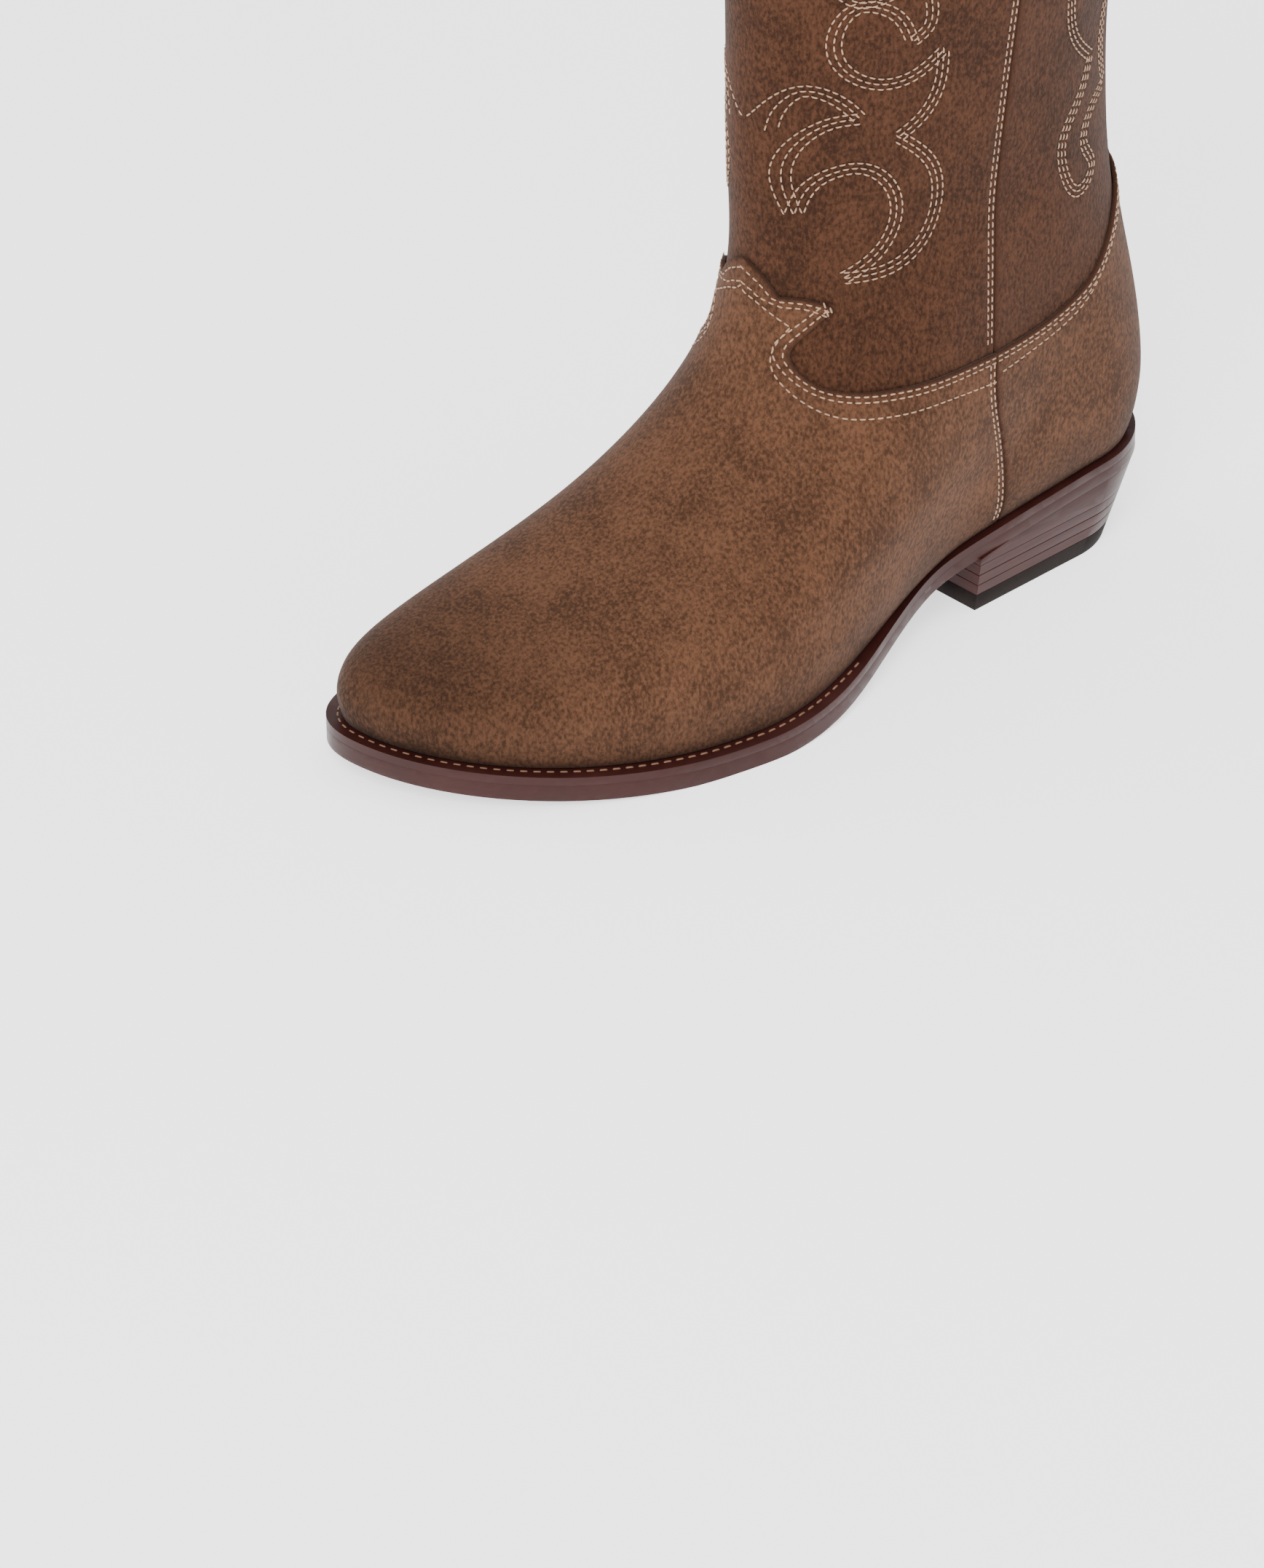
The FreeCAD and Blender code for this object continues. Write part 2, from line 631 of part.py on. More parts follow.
def heel_sketch(body, name, level, height):
    """The heel's outline at a level, which is a sheet expression, and at its height now: a
    straight breast, straight sides and a round back."""
    radius = size["tread_width"] / 2 + size["side_flare"] * height
    centre = size["tread_length"] / 2 + size["back_flare"] * height - radius
    front = -size["tread_length"] / 2
    sketch = body.newObject("Sketcher::SketchObject", name)
    plane = [f for f in body.Origin.OriginFeatures if f.Role == "XY_Plane"][0]
    sketch.AttachmentSupport = (plane, [""])
    sketch.MapMode = "FlatFace"
    sketch.setExpression("AttachmentOffset.Base.z", level)
    sketch.addGeometry(Part.LineSegment(Vector(-radius, front, 0), Vector(radius, front, 0)))
    sketch.addGeometry(Part.LineSegment(Vector(radius, front, 0), Vector(radius, centre, 0)))
    arc = Part.Circle(Vector(0, centre, 0), Vector(0, 0, 1), radius)
    sketch.addGeometry(Part.ArcOfCircle(arc, 0, math.pi))
    sketch.addGeometry(Part.LineSegment(Vector(-radius, centre, 0), Vector(-radius, front, 0)))
    for rule in (("Coincident", 0, 2, 1, 1), ("Tangent", 1, 2, 2, 1), ("Tangent", 2, 2, 3, 1),
                 ("Coincident", 3, 2, 0, 1), ("Horizontal", 0), ("Vertical", 1), ("Vertical", 3),
                 ("PointOnObject", 2, 3, -2)):
        sketch.addConstraint(Sketcher.Constraint(*rule))
    radius_rule = sketch.addConstraint(Sketcher.Constraint("Radius", 2, radius))
    back_rule = sketch.addConstraint(Sketcher.Constraint("DistanceY", -1, 1, 2, 3, centre))
    front_rule = sketch.addConstraint(Sketcher.Constraint("DistanceY", 0, 1, -1, 1, -front))
    wide = "(sizes.tread_width / 2 + sizes.side_flare * (%s))" % level
    sketch.setExpression("Constraints[%d]" % radius_rule, wide)
    sketch.setExpression("Constraints[%d]" % back_rule,
                         "sizes.tread_length / 2 + sizes.back_flare * (%s) - %s" % (level, wide))
    sketch.setExpression("Constraints[%d]" % front_rule, "sizes.tread_length / 2")
    return sketch


def heel_piece(name, bottom, top):
    """A tapered heel layer between two levels, each a sheet expression with its height."""
    body = document.addObject("PartDesign::Body", name)
    low_sketch = heel_sketch(body, name + "_bottom", bottom[0], bottom[1])
    high_sketch = heel_sketch(body, name + "_top", top[0], top[1])
    loft = body.newObject("PartDesign::AdditiveLoft", name + "_loft")
    loft.Profile = low_sketch
    loft.Sections = [high_sketch]
    loft.Ruled = True
    return body


def heel_level(lifts):
    """The level over the top lift and a number of lifts."""
    text = "sizes.top_lift_thickness + %d * sizes.lift_thickness" % lifts
    return text, size["top_lift_thickness"] + lifts * size["lift_thickness"]


# Nails run up from over the top lift through every leather lift.
nail_places = [("-sizes.tread_width / 2 + sizes.nail_inset", "-sizes.tread_length / 2 + sizes.nail_inset"),
               ("sizes.tread_width / 2 - sizes.nail_inset", "-sizes.tread_length / 2 + sizes.nail_inset"),
               ("-sizes.tread_width / 2 + sizes.nail_inset", "0"),
               ("sizes.tread_width / 2 - sizes.nail_inset", "0"),
               ("0", "sizes.tread_length / 2 - sizes.nail_inset")]
nails = []
for i, (x, y) in enumerate(nail_places, 1):
    nail = document.addObject("Part::Cylinder", "nail_%d" % i)
    nail.setExpression("Radius", "sizes.nail_diameter / 2")
    nail.setExpression("Height", "%d * sizes.lift_thickness" % lift_count)
    nail.setExpression("Placement.Base.x", x)
    nail.setExpression("Placement.Base.y", y)
    nail.setExpression("Placement.Base.z", "sizes.top_lift_thickness")
    nails.append(node(nail, "heel_nail_%d" % i))
nail_set = fuse("nail_set", nails)

ground_level = ("0 * sizes.lift_thickness", 0.0)
node(heel_piece("top_lift_body", ground_level, heel_level(0)), "top_lift")
for i in range(lift_count):
    lift = heel_piece("lift_body_%d" % (i + 1), heel_level(i), heel_level(i + 1))
    node(cut("lift_cut_%d" % (i + 1), lift, nail_set), "heel_lift_%d" % (i + 1))

# The wedge fills up to the outsole, which slopes and curves with the foot.
wedge_block = heel_piece("wedge_block", heel_level(lift_count), heel_level(lift_count + 4))
under_sole = feature("under_sole", side_prism(under_zone(feather_line(ends[0], ends[1], sole_bottom))))
node(common("wedge_cut", wedge_block, under_sole), "heel_wedge")


# ---------------------------------------------------------------- check and write

document.recompute()
for item in document.Objects:
    if "Invalid" in item.State or "Error" in item.State:
        raise RuntimeError("%s did not build: %s" % (item.Label, item.State))

os.makedirs("parts", exist_ok=True)
for piece in nodes:
    shape = piece.Shape
    if shape.isNull() or not shape.isValid() or len(shape.Solids) != 1:
        raise RuntimeError("%s is not one valid solid: %d solids, valid %s"
                           % (piece.Label, len(shape.Solids), shape.isValid()))
    solid = shape.Solids[0]
    bounds = solid.optimalBoundingBox(False)
    print("%-22s %9.1f mm3  x %7.1f %7.1f  y %7.1f %7.1f  z %7.1f %7.1f"
          % (piece.Label, solid.Volume, bounds.XMin, bounds.XMax, bounds.YMin, bounds.YMax,
             bounds.ZMin, bounds.ZMax))
    solid.exportStep("parts/%s.step" % piece.Label)
print(len(nodes), "nodes")
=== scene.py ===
import json
import math
import bmesh
import bpy
import numpy as np
from mathutils import Matrix, Vector
from mathutils.geometry import delaunay_2d_cdt


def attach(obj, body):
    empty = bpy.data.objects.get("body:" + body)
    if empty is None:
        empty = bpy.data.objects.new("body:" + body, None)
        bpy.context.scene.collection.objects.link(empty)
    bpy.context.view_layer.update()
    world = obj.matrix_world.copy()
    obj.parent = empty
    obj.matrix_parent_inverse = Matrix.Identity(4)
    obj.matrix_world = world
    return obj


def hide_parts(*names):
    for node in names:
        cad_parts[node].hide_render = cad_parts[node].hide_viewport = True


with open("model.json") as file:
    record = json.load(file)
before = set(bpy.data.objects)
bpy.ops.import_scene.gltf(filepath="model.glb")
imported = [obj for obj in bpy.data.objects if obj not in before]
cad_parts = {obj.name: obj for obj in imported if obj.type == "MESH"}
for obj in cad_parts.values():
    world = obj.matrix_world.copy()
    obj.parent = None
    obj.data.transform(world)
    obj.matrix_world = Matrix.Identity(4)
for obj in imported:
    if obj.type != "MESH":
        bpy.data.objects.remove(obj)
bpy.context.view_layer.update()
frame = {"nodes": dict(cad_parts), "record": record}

mm = 0.001
topLoop = 16
lineStep = 1.5
farAway = 1e3

# the last that the leather is shaped on, in millimetres
last = {
    "footLength": 294, "ballLateral": 59, "ballMedial": 39, "seatHalfWidth": 30, "toeSwing": 40,
    "toeSpring": 7, "heelSeat": 35.5, "heelBulge": 3.3, "ankleHollow": 10.5, "throatDepth": 154,
    "throatHeight": 147, "ankleHeight": 150, "ankleHalf": 37.5, "collarHalf": 49,
    "collarSetback": 12, "shaftHeight": 345, "soleEdge": 8.5, "heelBack": 48,
}

# colours are linear
upper = {
    "vampColour": (0.084, 0.038, 0.0205, 1), "shaftColour": (0.052, 0.0215, 0.0115, 1),
    "counterColour": (0.080, 0.036, 0.0195, 1),
    "toeShade": 0.62, "toeShadeFrom": -0.175, "toeShadeTo": -0.245, "napDepth": 0.0005,
    "footShade": 0.7, "footShadeHeight": 30, "wearReach": 1.6,
    "layer": 1.5, "edgeRadius": 0.7, "meshStep": 1.7,
    "edgeDrop": 0.8, "grooveDepth": 0.28, "grooveWidth": 0.55,
    "rippleHeight": 0.45, "rippleWaves": ((17, 31), (23, 19), (8.5, 11)), "ripplePhase": 1.3,
    "rippleFromEdge": 12, "rippleBase": 60, "rippleRise": 90,
}
stitching = {
    "colour": (0.36, 0.22, 0.14, 1), "length": 2.1, "pitch": 2.9, "radius": 0.29,
    "sink": 0.05, "flatness": 0.8, "sides": 6,
    "rowGap": 1.8, "edgeRows": (1.2, 2.9), "mirrorHeight": 235, "upperSqueeze": 0.82,
}
soleLook = {
    "edgeColour": (0.034, 0.0082, 0.0066, 1), "heelColour": (0.034, 0.0076, 0.0062, 1),
    "weltStitchPitch": 4.2, "weltStitchLength": 3.1, "weltStitchEnd": -100,
    "weltStitchRadius": 0.42, "weltStitchReach": 0.62, "weltStitchOut": 1.7, "weltStitchLift": 0.1,
    "weltStitchFirst": 2, "middle": (-20, -120, 0),
}


def naturalCurve(values, places=None):
    # natural cubic spline: bends found by one linear solve, then evaluated on whole arrays
    v = np.array(values, float)
    p = np.arange(len(v), dtype=float) if places is None else np.array(places, float)
    gap = np.diff(p)
    n = len(v)
    system = np.eye(n)
    right = np.zeros(n)
    inner = np.arange(1, n - 1)
    system[inner, inner - 1] = gap[:-1]
    system[inner, inner] = 2 * (gap[:-1] + gap[1:])
    system[inner, inner + 1] = gap[1:]
    right[inner] = 6 * np.diff(np.diff(v) / gap)
    bend = np.linalg.solve(system, right)

    def at(place):
        x = np.clip(place, p[0], p[-1])
        i = np.clip(np.searchsorted(p, x) - 1, 0, n - 2)
        after, before, g = x - p[i], p[i + 1] - x, gap[i]
        return ((bend[i] * before ** 3 + bend[i + 1] * after ** 3) / (6 * g)
                + (v[i] / g - bend[i] * g / 6) * before
                + (v[i + 1] / g - bend[i + 1] * g / 6) * after)
    return at


def ease(share):
    s = np.clip(share, 0, 1)
    return s * s * (3 - 2 * s)


heelBack = last["heelBack"]
toeTip = heelBack - last["footLength"]
throat = heelBack - last["throatDepth"]
toeHeight = last["soleEdge"] + last["toeSpring"]
heelRise = last["heelSeat"] - last["soleEdge"]
throatHigh = last["throatHeight"]
shaftTop = last["shaftHeight"]
backTop = last["ankleHeight"] + 15
ankle = last["ankleHalf"]
shaftWidths = [ankle + s * (last["collarHalf"] - ankle) for s in (0, 0.1, 0.26, 0.5, 0.72, 0.88, 1)]

featherShares = naturalCurve(
    [toeHeight] + [last["soleEdge"] + last["toeSpring"] * s for s in (0.75, 0.45, 0.15)]
    + [last["soleEdge"] + heelRise * s for s in (0, 0.093, 0.38, 0.725, 0.91, 0.97, 1)],
    [0, 0.04, 0.1, 0.19, 0.31, 0.44, 0.58, 0.715, 0.84, 0.92, 1])
frontY = naturalCurve(
    [toeTip + s * (throat - toeTip) for s in
     (0, -0.012, 0, 0.055, 0.235, 0.493, 0.72, 0.87, 0.95, 0.99, 1)]
    + [throat - 0.5, throat - 0.5, throat, throat + 0.5, throat + 1, throat + 1])
frontZ = naturalCurve(
    [toeHeight + s * (throatHigh - toeHeight) for s in
     (0, 0.058, 0.11, 0.163, 0.226, 0.315, 0.444, 0.581, 0.711, 0.848, 1)]
    + [throatHigh + s * (shaftTop - throatHigh) for s in (0.126, 0.283, 0.47, 0.657, 0.833, 1)])
backY = naturalCurve(
    [heelBack + s * last["heelBulge"] for s in (0, 0.45, 0.85, 1, 0.75, 0.15)]
    + [heelBack - s * last["ankleHollow"] for s in (0.24, 0.57, 0.81, 0.95, 1, 1, 0.86, 0.43)]
    + [heelBack + s * last["collarSetback"] for s in (0.08, 0.54, 1)])
backZ = naturalCurve(
    [last["heelSeat"] + s * (backTop - last["heelSeat"]) for s in
     (0, 0.058, 0.12, 0.19, 0.28, 0.39, 0.51, 0.64, 0.765, 0.88, 1)]
    + [backTop + s * (shaftTop - backTop) for s in (0.11, 0.25, 0.435, 0.63, 0.82, 1)])


def ballWidths(ball, bulge):
    instep = [ankle + s * (ball - ankle) for s in (0.88, 0.6, 0.38, 0.22, 0.12, 0.05)]
    return naturalCurve([ball + s * bulge for s in (0, 0.55, 0.9, 0.35)] + instep + shaftWidths)


def heelWidths(seat, extra):
    cup = [seat + s * (ankle + extra - seat) for s in
           (0.38, 0.58, 0.7, 0.76, 0.8, 0.84, 0.88, 0.93, 0.97)]
    return naturalCurve([seat] + cup + [w + extra for w in shaftWidths])


ballHalf = {1: ballWidths(last["ballLateral"], 3.0), -1: ballWidths(last["ballMedial"], 2.6)}
heelHalf = {1: heelWidths(last["seatHalfWidth"] - 1, 0.0),
            -1: heelWidths(last["seatHalfWidth"] + 1, 1.0)}
noseShare = naturalCurve([0.3, 0.3, 0.3, 0.3, 0.31, 0.325, 0.35, 0.38, 0.41, 0.44, 0.46,
                          0.48, 0.5, 0.5, 0.5, 0.5, 0.5])
tailLength = naturalCurve([30, 33, 35, 36, 37, 38.5, 41, 45, 50, 56, 62, 68, 73, 77, 79, 81, 82.5])


def featherHeight(y):
    return featherShares((y - toeTip) / last["footLength"])


def loopHeight(share, up, y):
    # height is the straight line between a loop's two ends, plus the sole's curve low down
    level = ease(up / 8)
    chord = featherHeight(frontY(up)) * (1 - share) + featherHeight(backY(up)) * share
    return frontZ(up) + (backZ(up) - frontZ(up)) * share + (1 - level) * (featherHeight(y) - chord)


def lastPoint(around, up):
    # around runs 0 at the front to 1 at the back outside, on to 2 inside; up is the loop number
    around, up = np.broadcast_arrays(np.asarray(around, float), np.asarray(up, float))
    turn = np.where(around > 1, around - 2, around)
    share = (1 - np.cos(np.pi * np.abs(turn))) / 2
    front, back = frontY(up), backY(up)
    length = back - front
    y = front + length * share
    z = loopHeight(share, up, y)
    level = ease(up / 8)
    blend = ease((share - 0.33 + 0.06 * level) / (0.37 + 0.16 * level))
    outer = ballHalf[1](up) * (1 - blend) + heelHalf[1](up) * blend
    inner = ballHalf[-1](up) * (1 - blend) + heelHalf[-1](up) * blend
    half = np.where(turn >= 0, outer, inner)
    nose = noseShare(up)
    tail = np.minimum(tailLength(up) / length, 1 - nose)
    half = half * np.sqrt(np.clip(1 - np.clip(1 - share / nose, 0, 1) ** 2, 0, 1))
    half = half * np.sqrt(np.clip(1 - np.clip((share - 1 + tail) / tail, 0, 1) ** 2, 0, 1))
    swing = -last["toeSwing"] * np.clip(y / toeTip, 0, None) ** 1.6
    return np.stack([np.where(turn >= 0, 1, -1) * half + swing, y, z], -1)


def outward(around, up):
    # unit normal: the cross product of the two directions along the surface
    turnStep, loopStep = 0.01, 0.05
    below = np.clip(up - loopStep, 0, topLoop - 2 * loopStep)
    above = np.clip(up + loopStep, 2 * loopStep, topLoop)
    across = lastPoint(around + turnStep, up) - lastPoint(around - turnStep, up)
    rise = lastPoint(around, above) - lastPoint(around, below)
    n = np.cross(across, rise)
    return n / np.maximum(np.linalg.norm(n, axis=-1, keepdims=True), 1e-9)


def inset(around, up, depth):
    return lastPoint(around, up) - outward(around, up) * np.asarray(depth)[..., None]


def place(y, z):
    # (around, up) of a point seen from the outer side, by halving the range of loops
    y, z = np.asarray(y, float), np.asarray(z, float)
    halvings = 34
    low, high = np.zeros_like(z), np.full_like(z, topLoop)
    for _ in range(halvings):
        up = (low + high) / 2
        share = np.clip((y - frontY(up)) / (backY(up) - frontY(up)), 0, 1)
        under = loopHeight(share, up, y) < z
        low, high = np.where(under, up, low), np.where(under, high, up)
    return np.arccos(1 - 2 * share) / np.pi, up


def smoothLine(points):
    # a curve through a few points, then even steps along it
    p = np.array(points, float)
    if len(p) > 2:
        gaps = np.r_[0, np.cumsum(np.linalg.norm(np.diff(p, axis=0), axis=1))]
        samplesPerPoint = 40
        fine = np.linspace(0, gaps[-1], samplesPerPoint * len(p))
        p = np.stack([naturalCurve(p[:, 0], gaps)(fine), naturalCurve(p[:, 1], gaps)(fine)], -1)
    run = np.r_[0, np.cumsum(np.linalg.norm(np.diff(p, axis=0), axis=1))]
    even = np.linspace(0, run[-1], max(2, int(run[-1] / lineStep) + 1))
    return np.stack([np.interp(even, run, p[:, 0]), np.interp(even, run, p[:, 1])], -1)


def shifted(line, gap):
    # the line moved sideways by gap, square to its own direction
    d = np.gradient(line, axis=0)
    d /= np.maximum(np.linalg.norm(d, axis=1, keepdims=True), 1e-9)
    return line + np.stack([-d[:, 1], d[:, 0]], -1) * gap


# where the pieces of the upper meet, as (y, z) seen from the outer side
seamFoot = 20.0
seamFootY = -28.0
collarAtSeam = 343.0
seamAt = naturalCurve([-27, -28, -33, -40, -40, -38, -35, -30, -27],
                      [0, seamFoot + 1.1, 60.6, 85.85, 101, 151.5, 202, 285, 405])


def seamLine(zFrom, zTo):
    z = np.linspace(zFrom, zTo, max(2, int(abs(zTo - zFrom) / lineStep)))
    return np.stack([seamAt(z), z], -1)


vampTop = np.vstack([
    smoothLine([(-40, 101), (-62, 101.5), (-82, 102), (-94, 103), (-101, 106), (-104, 113),
                (-100, 120), (-92, 129)]),
    smoothLine([(-92, 129), (-98, 132), (-103, 132)]),
    smoothLine([(-103, 132), (-105.5, 140), (-112, 154)])])
counterTop = smoothLine([(-40, 101), (-17, 102.5), (3, 109), (17, 120), (38, 136), (60, 141)])
panelFoot = smoothLine([(-40, 91), (-67, 91.5), (-106, 95), (-140, 112)])
counterFoot = smoothLine([(-40, 91), (-17, 92.5), (5, 99), (38, 116), (60, 119)])
collarLine = smoothLine([(-147, 321), (-106, 321.7), (-75, 330.6), (-44, 342), (-23, 345),
                         (-2, 342.8), (29, 334), (60, 327.5), (101, 327)])
collarFront = collarLine[collarLine[:, 0] <= seamAt(collarAtSeam)][::-1]
collarBack = collarLine[collarLine[:, 0] > seamAt(collarAtSeam)]


def onLast(line):
    # the stretch of a (y, z) line that lies on the last, as rows of (around, up)
    around, up = place(line[:, 0], line[:, 1])
    ridge = 1e-4
    ends = (around < ridge) | (around > 1 - ridge)
    stop = np.argmax(ends) + 1 if ends.any() else len(line)
    return np.stack([around, up], -1)[:stop]


def newPiece(name, points, faces, material, cover=None):
    mesh = bpy.data.meshes.new(name)
    mesh.from_pydata((np.asarray(points) * mm).tolist(), [], faces)
    mesh.validate()
    mesh.polygons.foreach_set("use_smooth", [True] * len(mesh.polygons))
    piece = bpy.data.objects.new(name, mesh)
    bpy.context.scene.collection.objects.link(piece)
    mesh.materials.append(material)
    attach(piece, "root")
    if cover:
        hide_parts(cover)
    return piece


def nearest(points, targets):
    # distance from each point to the closest target, worked out in blocks
    best = np.full(len(points), farAway)
    blockSize = 2000
    for start in range(0, len(points), blockSize):
        block = points[start:start + blockSize]
        squares = ((block ** 2).sum(1)[:, None] + (targets ** 2).sum(1)[None] - 2 * block @ targets.T)
        best[start:start + blockSize] = np.sqrt(np.maximum(squares.min(1), 0))
    return best


def leatherPiece(name, half, centre, rows, depth, material):
    # half outlines one side in (around, up); centre is 0 for the front and 1 for the back.
    # The sheet is triangulated flat, then laid on the last, with a rounded edge, a groove
    # under each stitch row and a slow ripple, and closed by its inner face and its rim.
    other = half[::-1].copy()
    other[:, 0] = 2 * centre - other[:, 0]
    ring = np.vstack([half, other])
    roughMm, closest = np.array([200, 20]), 0.2
    keep = np.r_[True, np.linalg.norm(np.diff(ring * roughMm, axis=0), axis=1) > closest]
    ring = ring[keep]
    if np.linalg.norm((ring[0] - ring[-1]) * roughMm) < closest:
        ring = ring[:-1]
    levels = np.linspace(0, topLoop, 10 * topLoop + 1)
    climbAt, loopSteps = 0.4, 60
    climb = np.r_[0, np.cumsum(np.linalg.norm(np.diff(lastPoint(climbAt, levels), axis=0), axis=1))]
    middle = (ring[:, 1].min() + ring[:, 1].max()) / 2
    loop = lastPoint(np.linspace(0, 1, loopSteps), middle)
    wide = np.linalg.norm(np.diff(loop, axis=0), axis=1).sum()

    def flat(p):
        return np.stack([p[:, 0] * wide, np.interp(p[:, 1], levels, climb)], -1)

    def unflat(p):
        return p[:, 0] / wide, np.interp(p[:, 1], climb, levels)

    edge = flat(ring)
    step, rowHeight = upper["meshStep"], 0.87
    low, high = edge.min(0), edge.max(0)
    gridX, gridY = np.meshgrid(np.arange(low[0], high[0], step),
                               np.arange(low[1], high[1], step * rowHeight))
    gridX = gridX + (np.arange(len(gridX)) % 2)[:, None] * step / 2
    grid = np.stack([gridX.ravel(), gridY.ravel()], -1)
    lines = [flat(np.stack([r[:, 0] if s > 0 else 2 * centre - r[:, 0], r[:, 1]], -1))
             for r in rows for s in (1, -1)]
    rowSide, rimSides, gridClear, edgeClear, mergeGap = 0.6, (0.4, -0.4, 0.9, -0.9), 0.7, 0.22, 1e-4
    extra = []
    for line in lines:
        extra += [line, shifted(line, rowSide), shifted(line, -rowSide)]
    rims = [shifted(np.vstack([edge, edge[:1]]), g)[:-1] for g in rimSides]
    fixed = np.vstack([edge] + rims + extra)
    grid = grid[nearest(grid, fixed) > gridClear]
    free = np.vstack(rims + extra + [grid])
    free = free[nearest(free, edge) > edgeClear]
    count = len(edge)
    allPoints = np.vstack([edge, free])
    border = [(i, (i + 1) % count) for i in range(count)]
    verts, _, faces, _, _, _ = delaunay_2d_cdt(
        [Vector(p) for p in allPoints], border, [], 1, mergeGap)
    flatPoints = np.array([tuple(v) for v in verts])
    tris = np.array([f for f in faces if len(f) == 3])
    a, b, c = (flatPoints[tris[:, k]] for k in range(3))
    area = (b[:, 0] - a[:, 0]) * (c[:, 1] - a[:, 1]) - (b[:, 1] - a[:, 1]) * (c[:, 0] - a[:, 0])
    tris[area < 0] = tris[area < 0][:, ::-1]
    around, up = unflat(flatPoints)
    skin = lastPoint(around, up)
    edgeGap = nearest(skin, lastPoint(*unflat(edge)))
    rowGap = np.full(len(skin), farAway)
    for line in lines:
        rowGap = np.minimum(rowGap, nearest(skin, lastPoint(*unflat(line))))
    radius = upper["edgeRadius"]
    fromEdge = np.clip(radius - edgeGap, 0, radius)
    rounding = radius - np.sqrt(np.maximum(radius ** 2 - fromEdge ** 2, 0))
    groove = upper["grooveDepth"] * np.exp(-(rowGap / upper["grooveWidth"]) ** 2)
    x, y, z = skin.T
    (longZ, longY), (crossY, crossX), (shortZ, shortX) = upper["rippleWaves"]
    waves = np.sin(z / longZ + y / longY) * np.sin(y / crossY - x / crossX + upper["ripplePhase"])
    waves = waves + 0.5 * np.sin(z / shortZ - x / shortX)
    ripple = (upper["rippleHeight"] * (0.5 + 0.33 * waves) * ease(edgeGap / upper["rippleFromEdge"])
              * ease((z - upper["rippleBase"]) / upper["rippleRise"]))
    outer = inset(around, up, depth + rounding * upper["edgeDrop"] + groove + ripple)
    inner = inset(around, up, np.full(len(skin), depth + upper["layer"]))
    n = len(skin)
    sideEdges = np.vstack([tris[:, [0, 1]], tris[:, [1, 2]], tris[:, [2, 0]]])
    unique, counts = np.unique(np.sort(sideEdges, axis=1), axis=0, return_counts=True)
    openEdges = {tuple(p) for p in unique[counts == 1].tolist()}
    rim = []
    for i, j in sideEdges.tolist():
        if (min(i, j), max(i, j)) in openEdges:
            rim.append((j, i, i + n, j + n))
    allFaces = tris.tolist() + (tris[:, ::-1] + n).tolist() + rim
    piece = newPiece(name, np.vstack([outer, inner]), allFaces, material,
                     name.replace("_suede", ""))
    wear = piece.data.attributes.new("edgeWear", "FLOAT", "POINT")
    worn = np.r_[np.exp(-edgeGap / upper["wearReach"]), np.ones(n)]
    wear.data.foreach_set("value", worn.astype(np.float32))
    toe = ease((y * mm - upper["toeShadeFrom"]) / (upper["toeShadeTo"] - upper["toeShadeFrom"]))
    foot = upper["footShade"] * ease(1 - (z - featherHeight(y)) / upper["footShadeHeight"])
    shade = piece.data.attributes.new("toeShade", "FLOAT", "POINT")
    shade.data.foreach_set("value", np.tile(np.maximum(toe, foot), 2).astype(np.float32))
    print("leather", name, len(allFaces), "faces")


def capsules(name, centres, along, normals, length, radius, material):
    # each stitch is a many-sided tube of four rings whose ends dip and close
    stations = np.array([-0.5, -0.3, 0.3, 0.5])
    widths = np.array([0.35, 1.0, 1.0, 0.35])
    dips = np.array([-0.9, 0, 0, -0.9])
    sides, rings = stitching["sides"], len(stations)
    angle = np.arange(sides) * 2 * np.pi / sides
    across = np.cross(normals, along)
    c = centres[:, None, None] + along[:, None, None] * (stations * length)[None, :, None, None]
    c = c + normals[:, None, None] * (dips * radius)[None, :, None, None]
    around = (across[:, None, None] * np.cos(angle)[None, None, :, None]
              + normals[:, None, None] * np.sin(angle)[None, None, :, None] * stitching["flatness"])
    points = (c + around * (widths * radius)[None, :, None, None]).reshape(-1, 3)
    one = [(r * sides + k, r * sides + (k + 1) % sides,
            (r + 1) * sides + (k + 1) % sides, (r + 1) * sides + k)
           for r in range(rings - 1) for k in range(sides)]
    caps = [tuple(range(sides - 1, -1, -1)), tuple(range((rings - 1) * sides, rings * sides))]
    faces = [tuple(v + rings * sides * i for v in f) for i in range(len(centres)) for f in one + caps]
    piece = newPiece(name, points, faces, material)
    work = bmesh.new()
    work.from_mesh(piece.data)
    bmesh.ops.recalc_face_normals(work, faces=work.faces)
    work.to_mesh(piece.data)
    work.free()
    print("stitches", name, len(centres))


def stitchSet(name, rows, centre, depth):
    reach = 0.4
    middles, alongs, normals = [], [], []
    for row in rows:
        for s in (1, -1):
            around = row[:, 0] if s > 0 else 2 * centre - row[:, 0]
            path = lastPoint(around, row[:, 1])
            run = np.r_[0, np.cumsum(np.linalg.norm(np.diff(path, axis=0), axis=1))]
            at = np.arange(stitching["pitch"] / 2, run[-1], stitching["pitch"])
            if len(at) == 0:
                continue
            a, u = np.interp(at, run, around), np.interp(at, run, row[:, 1])
            a2, u2 = np.interp(at + reach, run, around), np.interp(at + reach, run, row[:, 1])
            a1, u1 = np.interp(at - reach, run, around), np.interp(at - reach, run, row[:, 1])
            t = lastPoint(a2, u2) - lastPoint(a1, u1)
            middles.append(inset(a, u, np.full(len(a), depth + stitching["sink"])))
            alongs.append(t / np.maximum(np.linalg.norm(t, axis=1, keepdims=True), 1e-9))
            normals.append(outward(a, u))
    capsules(name, np.vstack(middles), np.vstack(alongs), np.vstack(normals),
             stitching["length"], stitching["radius"], thread)


# shader node groups, each used by several materials
noiseRoughness = 0.62


